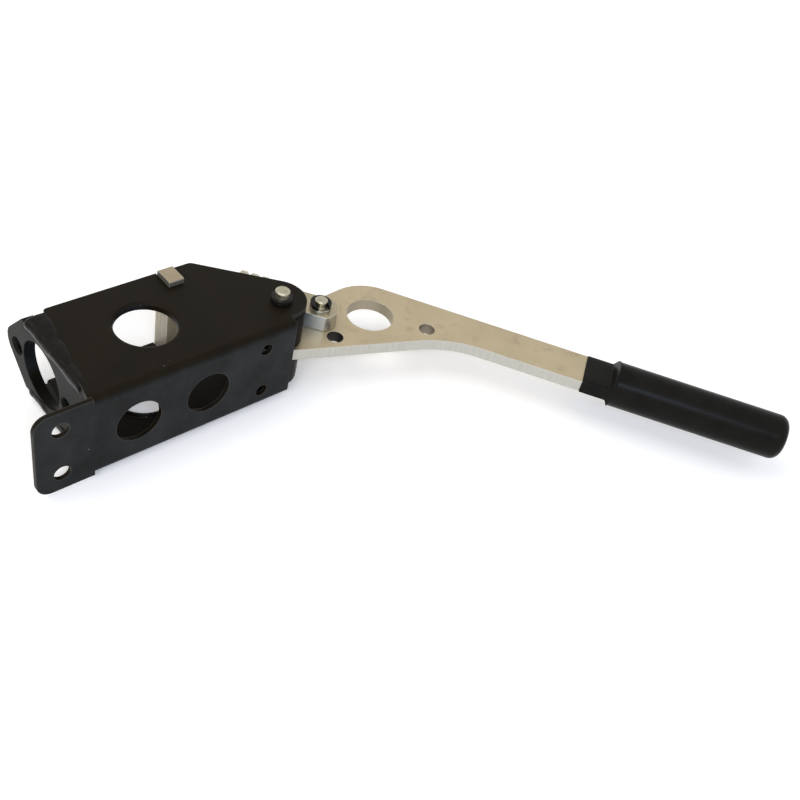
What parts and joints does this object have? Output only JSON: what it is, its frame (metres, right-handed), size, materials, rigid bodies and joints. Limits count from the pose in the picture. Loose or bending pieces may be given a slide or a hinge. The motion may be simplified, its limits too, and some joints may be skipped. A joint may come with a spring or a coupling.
{
  "type": "parking brake lever",
  "caption": "Hydraulic parking brake lever: folded steel bracket with a cylinder plate, swinging cranked lever with grip and a push-rod eye.",
  "frame": {"origin": "middle of the base hole pattern on the outer face of the base, half way across the bracket", "axes": "+X along the base towards the pivot and the grip, +Y from the base towards the stop bar, +Z along the pivot axis, up as the part lies in the picture"},
  "size_m": [0.414, 0.317, 0.07],
  "materials": {
    "black_coat": "satin black powder coat",
    "plate_coat": "thin dark coat over steel",
    "weld": "coated weld bead",
    "bare_steel": "bare cold drawn steel",
    "zinc_pin": "zinc plated, passivated",
    "black_clip": "black oxide",
    "spacer_black": "black, turned",
    "bush_bronze": "plain bearing bronze",
    "lever_steel": "satin nickel toned sheet, cut edges",
    "bright_zinc": "bright zinc plate",
    "zinc_sleeve": "zinc plated, turned ribs",
    "grip_black": "matte black soft plastic"
  },
  "bodies": {
    "bracket": {"bracket_channel": "black_coat", "cylinder_plate": "plate_coat", "upper_weld": "weld", "lower_weld": "weld", "base_weld": "weld", "stop_bar": "bare_steel", "pivot_pin": "zinc_pin", "pivot_washer": "black_clip", "pivot_clip": "black_clip", "upper_spacer": "spacer_black", "lower_spacer": "spacer_black"},
    "lever": {"lever_bush": "bush_bronze", "lever_arm": "lever_steel", "eye_pin": "zinc_pin", "eye_washer": "bright_zinc", "eye_clip": "black_clip", "hand_grip": "grip_black", "grip_plug": "grip_black"},
    "rod_end": {"rod_eye": "bright_zinc", "rod_adjuster": "zinc_sleeve"}
  },
  "joints": [
    {"name": "lever_pivot", "type": "hinge", "parent": "bracket", "child": "lever", "pos_m": [0.089, 0.021, 0], "axis": [0, 0, 1], "range_deg": [-25, 65]},
    {"name": "eye_swing", "type": "hinge", "parent": "lever", "child": "rod_end", "pos_m": [0.1217, 0.021, 0], "axis": [0, 0, 1], "range_deg": [-65, 0]}
  ]
}
